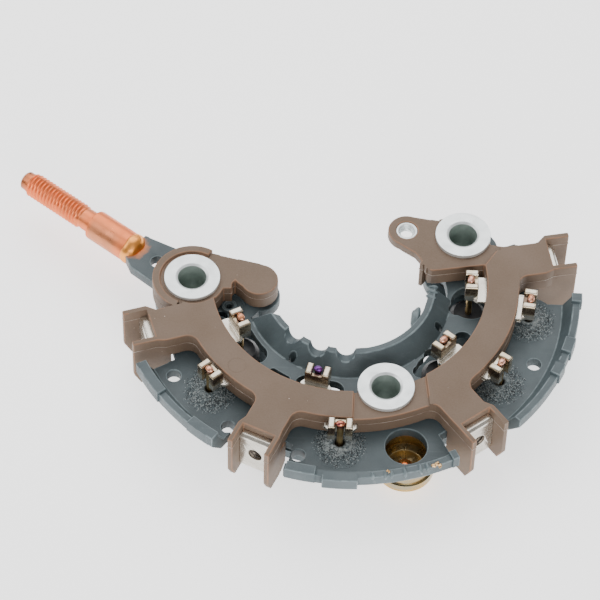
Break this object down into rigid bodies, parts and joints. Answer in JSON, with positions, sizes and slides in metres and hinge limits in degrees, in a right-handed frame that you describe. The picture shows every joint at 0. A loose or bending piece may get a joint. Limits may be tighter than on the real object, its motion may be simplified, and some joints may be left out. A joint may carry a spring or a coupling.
{
  "type": "alternator rectifier",
  "caption": "Horseshoe rectifier of a car alternator: plate heat sinks with press-fit diodes under a brown moulded terminal board, with a threaded output stud.",
  "frame": {"origin": "where the alternator's shaft line meets the seat plane under the bushes", "axes": "+Z from the seat towards the terminal board, the horseshoe opens towards +Y, the output stud points to -X and +Y"},
  "size_m": [0.1338, 0.0903, 0.021],
  "materials": {
    "board_plastic": "brown moulded thermoset, satin",
    "sink_aluminium": "dark grey coated aluminium",
    "zinc_steel": "zinc plated",
    "insulator_plastic": "black, matt",
    "copper_stud": "coppery plating",
    "tinned_strap": "tinned",
    "diode_case": "grey, speckled",
    "copper_lead": "tarnished copper",
    "cup_brass": "plain brass"
  },
  "bodies": {
    "root": {"terminal_board": "board_plastic", "positive_heat_sink": "sink_aluminium", "negative_heat_sink": "sink_aluminium", "mounting_bush_left": "zinc_steel", "insulator_left": "insulator_plastic", "mounting_bush_front": "zinc_steel", "insulator_front": "insulator_plastic", "mounting_bush_right": "zinc_steel", "insulator_right": "insulator_plastic", "b_plus_stud": "copper_stud", "phase_strap_1": "tinned_strap", "terminal_nut_1": "zinc_steel", "outer_diode_1": "diode_case", "inner_diode_1": "diode_case", "outer_lead_1": "copper_lead", "inner_lead_1": "copper_lead", "phase_strap_2": "tinned_strap", "terminal_nut_2": "zinc_steel", "outer_diode_2": "diode_case", "inner_diode_2": "diode_case", "outer_lead_2": "copper_lead", "inner_lead_2": "copper_lead", "phase_strap_3": "tinned_strap", "terminal_nut_3": "zinc_steel", "outer_diode_3": "diode_case", "inner_diode_3": "diode_case", "outer_lead_3": "copper_lead", "inner_lead_3": "copper_lead", "phase_strap_4": "tinned_strap", "terminal_nut_4": "zinc_steel", "outer_diode_4": "diode_case", "inner_diode_4": "diode_case", "outer_lead_4": "copper_lead", "inner_lead_4": "copper_lead", "ear_insert": "zinc_steel", "brass_cup": "cup_brass", "cup_eyelet": "copper_lead", "sink_rivet": "sink_aluminium"}
  },
  "joints": []
}
